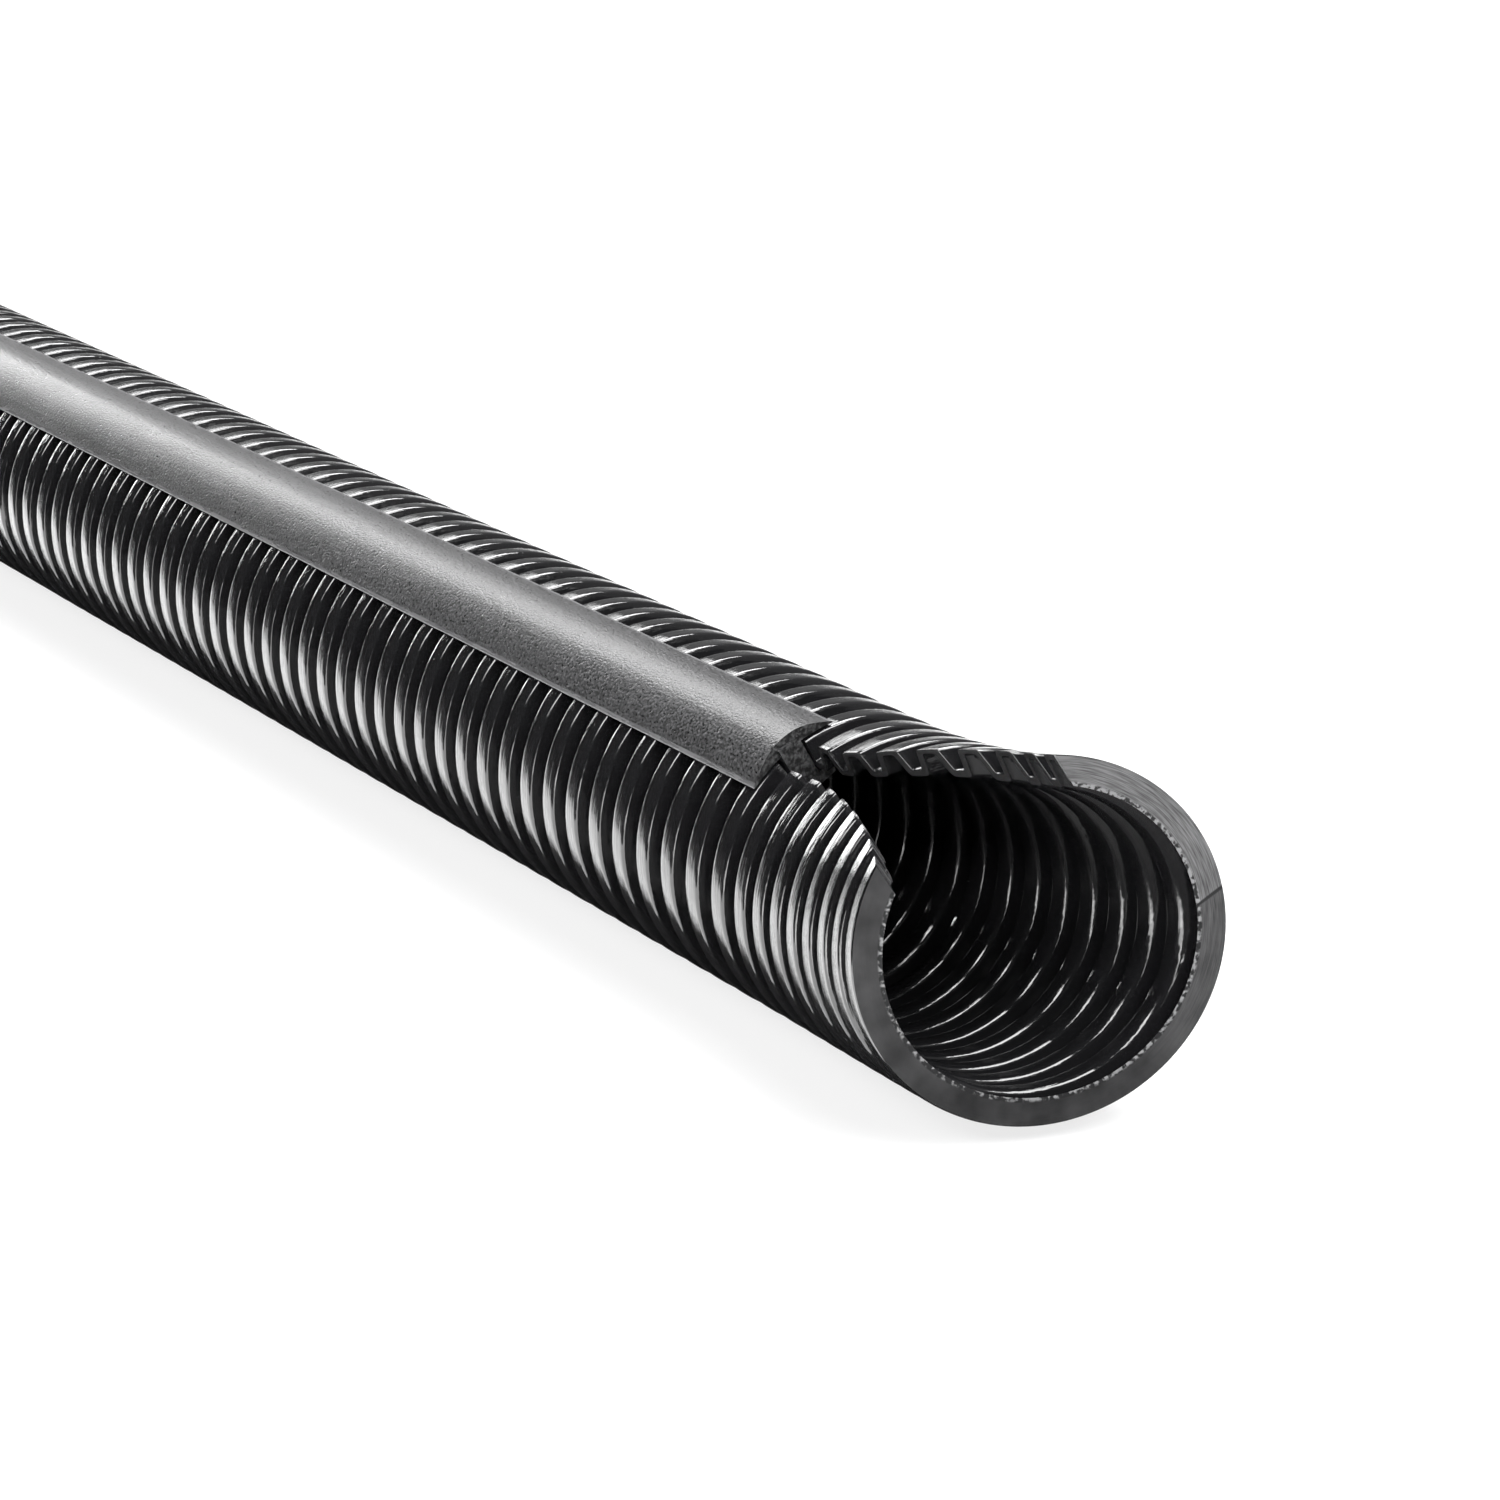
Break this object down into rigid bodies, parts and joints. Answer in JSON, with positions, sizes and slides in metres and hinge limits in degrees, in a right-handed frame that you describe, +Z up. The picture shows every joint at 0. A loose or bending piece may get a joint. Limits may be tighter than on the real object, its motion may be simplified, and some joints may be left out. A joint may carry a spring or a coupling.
{
  "type": "corrugated conduit",
  "caption": "Black corrugated cable conduit, slit along its length, closed by a snap-in grey strip and sprung open at one end",
  "frame": {"origin": "middle of the bounding box, on the floor that the conduit lies on", "axes": "+X along the conduit toward the sprung open end, +Z up, the slit and its strip turned 30.4 degrees from straight up toward -Y"},
  "size_m": [0.9969, 0.0318, 0.033],
  "materials": {
    "black_plastic": "smooth moulded gloss with fine scuffs, matte where sawn",
    "grey_plastic": "matte extruded plastic with a fine orange-peel grain"
  },
  "bodies": {
    "root": {"conduit": "black_plastic", "closing_strip": "grey_plastic"}
  },
  "joints": []
}
